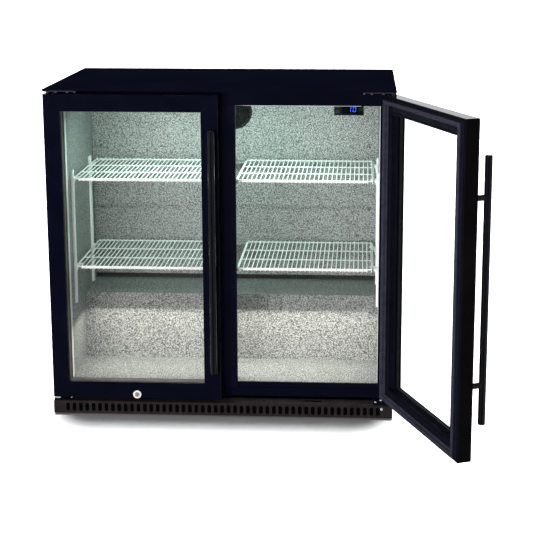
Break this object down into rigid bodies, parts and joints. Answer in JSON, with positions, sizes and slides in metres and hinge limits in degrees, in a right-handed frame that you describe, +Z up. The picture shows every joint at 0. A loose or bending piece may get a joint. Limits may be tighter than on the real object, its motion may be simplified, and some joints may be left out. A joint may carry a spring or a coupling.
{
  "type": "undercounter refrigerator",
  "caption": "Free-standing back-bar refrigerator with hinged glass doors, tubular handles, cam locks, wire shelves, slotted kick grille and fan-cooled interior.",
  "frame": {"origin": "on the floor, under the middle of the bounding box of the whole object with its right door open; the cabinet's own middle is 103.9 mm towards -X", "axes": "+Z up, -Y out of the front towards the user, +X to the right seen from the front"},
  "size_m": [1.1077, 0.9226, 0.87],
  "materials": {
    "black_steel": "satin",
    "black_frame": "gloss",
    "black_plastic": "satin",
    "grille_steel": "matte",
    "foam": "matte",
    "liner_aluminium": "satin",
    "zinc_steel": "satin",
    "lock_chrome": "polished",
    "white_wire": "satin",
    "gasket_rubber": "matte",
    "pane_glass": "polished",
    "display_window": "gloss",
    "led_diffuser": "satin"
  },
  "bodies": {
    "cabinet": {"top_panel": "black_steel", "side_panel_left": "black_steel", "side_panel_right": "black_steel", "rear_panel": "zinc_steel", "rear_grille": "zinc_steel", "base_pan": "zinc_steel", "insulation": "foam", "inner_liner": "liner_aluminium", "face_frame": "black_steel", "mullion": "black_steel", "kick_grille": "grille_steel", "hinge_top_left": "black_steel", "hinge_top_right": "black_steel", "hinge_bottom_left": "zinc_steel", "hinge_bottom_right": "zinc_steel", "evaporator_cover": "liner_aluminium", "evap_fan_guard": "black_plastic", "evap_fan_motor": "black_plastic", "evaporator_coil": "zinc_steel", "compressor": "black_steel", "condenser": "black_steel", "cord_gland": "black_plastic", "controller": "black_plastic", "display": "display_window", "led_strip": "led_diffuser", "strip_front_left": "white_wire", "strip_front_right": "white_wire", "strip_rear_left": "white_wire", "strip_rear_right": "white_wire", "foot_front_left": "black_plastic", "foot_front_right": "black_plastic", "foot_rear_left": "black_plastic", "foot_rear_right": "black_plastic"},
    "left_door": {"door_frame_left": "black_frame", "outer_pane_left": "pane_glass", "pane_spacer_left": "liner_aluminium", "inner_pane_left": "pane_glass", "glazing_bead_left": "black_plastic", "gasket_left": "gasket_rubber", "door_handle_left": "black_frame", "lock_body_left": "lock_chrome"},
    "right_door": {"door_frame_right": "black_frame", "outer_pane_right": "pane_glass", "pane_spacer_right": "liner_aluminium", "inner_pane_right": "pane_glass", "glazing_bead_right": "black_plastic", "gasket_right": "gasket_rubber", "door_handle_right": "black_frame", "lock_body_right": "lock_chrome"},
    "left_lock": {"lock_cam_left": "lock_chrome"},
    "right_lock": {"lock_cam_right": "lock_chrome"},
    "evap_fan": {"evap_fan_blades": "black_plastic"},
    "condenser_fan": {"condenser_fan_blades": "zinc_steel"},
    "shelf_lower_left": {"shelf_lower_left": "white_wire"},
    "shelf_lower_right": {"shelf_lower_right": "white_wire"},
    "shelf_upper_left": {"shelf_upper_left": "white_wire"},
    "shelf_upper_right": {"shelf_upper_right": "white_wire"},
    "key_up": {"key_up": "black_plastic"},
    "key_down": {"key_down": "black_plastic"},
    "key_set": {"key_set": "black_plastic"}
  },
  "joints": [
    {"name": "left_door_swing", "type": "hinge", "parent": "cabinet", "child": "left_door", "pos_m": [-0.5439, -0.0497, 0.4525], "axis": [0, 0, -1], "range_deg": [0, 120]},
    {"name": "right_door_swing", "type": "hinge", "parent": "cabinet", "child": "right_door", "pos_m": [0.3361, -0.0497, 0.4525], "axis": [0, 0, 1], "range_deg": [-112.5, 7.5]},
    {"name": "left_lock_turn", "type": "hinge", "parent": "left_door", "child": "left_lock", "pos_m": [-0.3289, -0.0687, 0.059], "axis": [0, 1, 0], "range_deg": [0, 90]},
    {"name": "right_lock_turn", "type": "hinge", "parent": "right_door", "child": "right_lock", "pos_m": [0.43593, -0.24106, 0.059], "axis": [-0.9239, -0.3827, 0], "range_deg": [0, 90]},
    {"name": "evap_fan_spin", "type": "hinge", "parent": "cabinet", "child": "evap_fan", "pos_m": [-0.1039, 0.3453, 0.76], "axis": [0, 1, 0], "continuous": true},
    {"name": "condenser_fan_spin", "type": "hinge", "parent": "cabinet", "child": "condenser_fan", "pos_m": [0.0561, 0.3373, 0.11], "axis": [0, 1, 0], "continuous": true},
    {"name": "shelf_lower_left_lift", "type": "slide", "parent": "cabinet", "child": "shelf_lower_left", "axis": [0, 0, 1], "range_m": [0, 0.015]},
    {"name": "shelf_lower_right_lift", "type": "slide", "parent": "cabinet", "child": "shelf_lower_right", "axis": [0, 0, 1], "range_m": [0, 0.015]},
    {"name": "shelf_upper_left_lift", "type": "slide", "parent": "cabinet", "child": "shelf_upper_left", "axis": [0, 0, 1], "range_m": [0, 0.015]},
    {"name": "shelf_upper_right_lift", "type": "slide", "parent": "cabinet", "child": "shelf_upper_right", "axis": [0, 0, 1], "range_m": [0, 0.015]},
    {"name": "key_up_press", "type": "slide", "parent": "cabinet", "child": "key_up", "axis": [0, 1, 0], "range_m": [0, 0.0006], "stiffness_N_per_m": 400},
    {"name": "key_down_press", "type": "slide", "parent": "cabinet", "child": "key_down", "axis": [0, 1, 0], "range_m": [0, 0.0006], "stiffness_N_per_m": 400},
    {"name": "key_set_press", "type": "slide", "parent": "cabinet", "child": "key_set", "axis": [0, 1, 0], "range_m": [0, 0.0006], "stiffness_N_per_m": 400}
  ]
}
